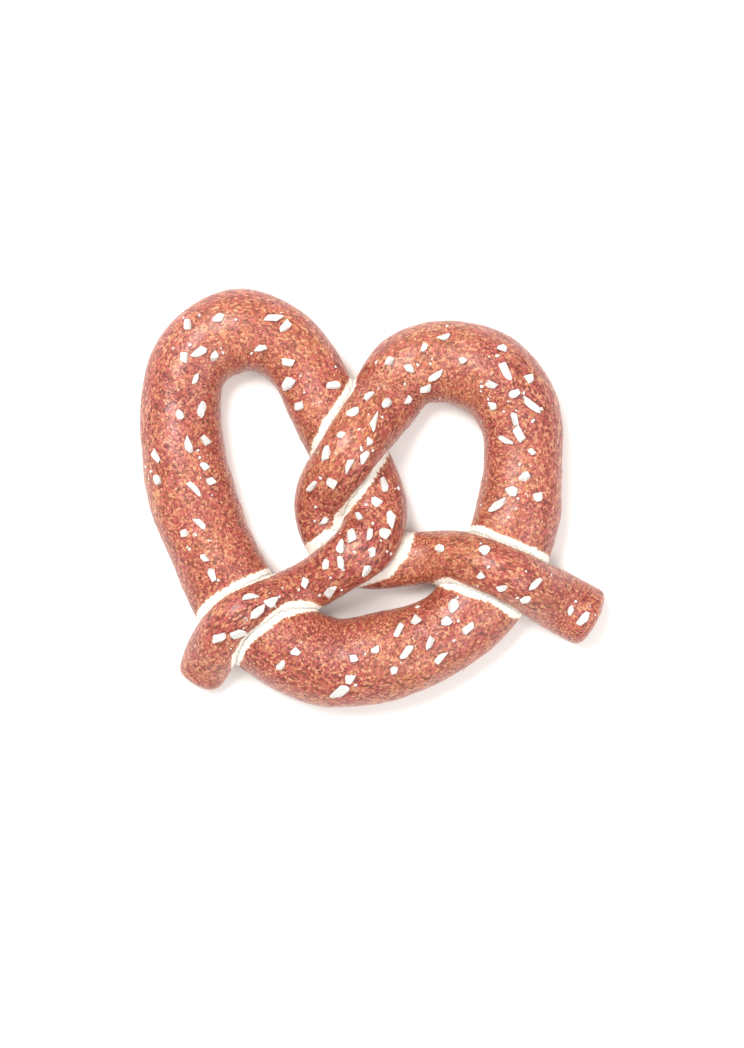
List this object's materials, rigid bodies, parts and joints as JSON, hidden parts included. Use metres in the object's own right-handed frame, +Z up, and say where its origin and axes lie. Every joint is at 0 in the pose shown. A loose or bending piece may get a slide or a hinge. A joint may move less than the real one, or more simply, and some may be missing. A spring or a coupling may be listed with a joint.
{
  "type": "soft pretzel",
  "caption": "Soft baked pretzel: one rope of dough looped left and right, twisted in the middle and laid back over itself, with coarse salt on its shiny brown crust.",
  "frame": {"origin": "on the table, under the middle of the pretzel's plan box", "axes": "+Z up, from the flat baked underside to the salted top; +X to the right and -Y towards the thick belly, seen from above"},
  "size_m": [0.1578, 0.142, 0.0288],
  "materials": {
    "crust": "baked golden-brown crust with a soft sheen, pale in its creases",
    "salt": "frosted white crystals"
  },
  "bodies": {
    "root": {"pretzel": "crust"}
  },
  "joints": []
}
